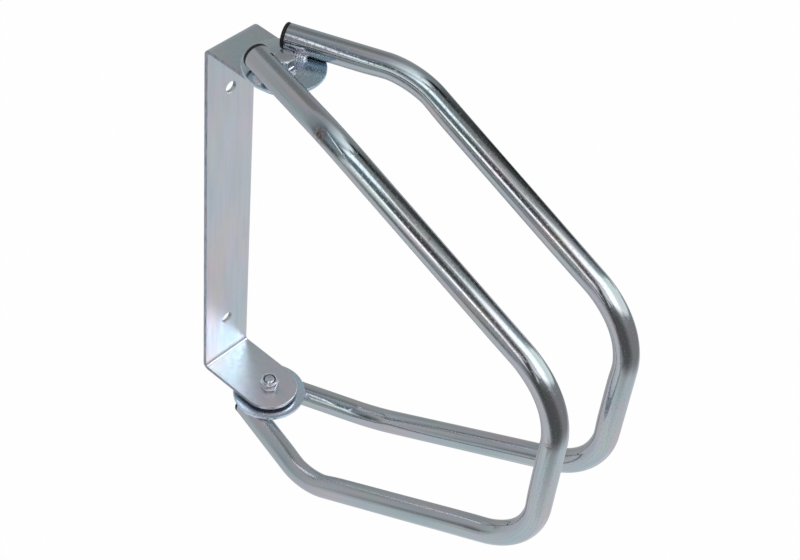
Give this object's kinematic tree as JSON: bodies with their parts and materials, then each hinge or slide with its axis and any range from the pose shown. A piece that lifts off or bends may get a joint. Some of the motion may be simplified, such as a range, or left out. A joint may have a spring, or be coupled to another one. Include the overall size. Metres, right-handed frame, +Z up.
{
  "type": "wall-mounted bike rack",
  "caption": "Wall rack for a bicycle wheel: a U-shaped bracket and a swivelling cradle of bent tube hoops that holds the wheel upright between them.",
  "frame": {"origin": "centre of the bracket plate's back face, on the wall", "axes": "+Z up, +Y into the wall (the rack stands out along -Y), +X to the right when facing the wall"},
  "size_m": [0.1148, 0.327, 0.3632],
  "materials": {
    "zinc_bar": "bright zinc plate on flat bar, satin",
    "zinc_disc": "bright zinc plate on a punched disc, satin",
    "zinc_tube": "bright zinc plate on drawn tube, glossy",
    "zinc_fastener": "bright zinc plate, glossy",
    "weld": "rippled weld metal under zinc plate",
    "black_plastic": "moulded, matt",
    "nylon": "moulded, satin"
  },
  "bodies": {
    "bracket": {"wall_bracket": "zinc_bar", "upper_pivot_bolt": "zinc_fastener", "lower_pivot_bolt": "zinc_fastener", "upper_head_washer": "zinc_fastener", "lower_head_washer": "zinc_fastener", "upper_spacer_washer": "black_plastic", "lower_spacer_washer": "black_plastic", "upper_lock_nut": "zinc_fastener", "lower_lock_nut": "zinc_fastener", "upper_nut_insert": "nylon", "lower_nut_insert": "nylon"},
    "cradle": {"upper_disc": "zinc_disc", "lower_disc": "zinc_disc", "left_hoop": "zinc_tube", "right_hoop": "zinc_tube", "left_upper_end_plug": "black_plastic", "left_lower_end_plug": "black_plastic", "right_upper_end_plug": "black_plastic", "right_lower_end_plug": "black_plastic", "left_upper_inner_weld": "weld", "left_upper_outer_weld": "weld", "left_lower_inner_weld": "weld", "left_lower_outer_weld": "weld", "right_upper_inner_weld": "weld", "right_upper_outer_weld": "weld", "right_lower_inner_weld": "weld", "right_lower_outer_weld": "weld"}
  },
  "joints": [
    {"name": "cradle_swivel", "type": "hinge", "parent": "bracket", "child": "cradle", "pos_m": [0, -0.0515, 0], "axis": [0, 0, 1], "range_deg": [-92.6, 83.4]}
  ]
}
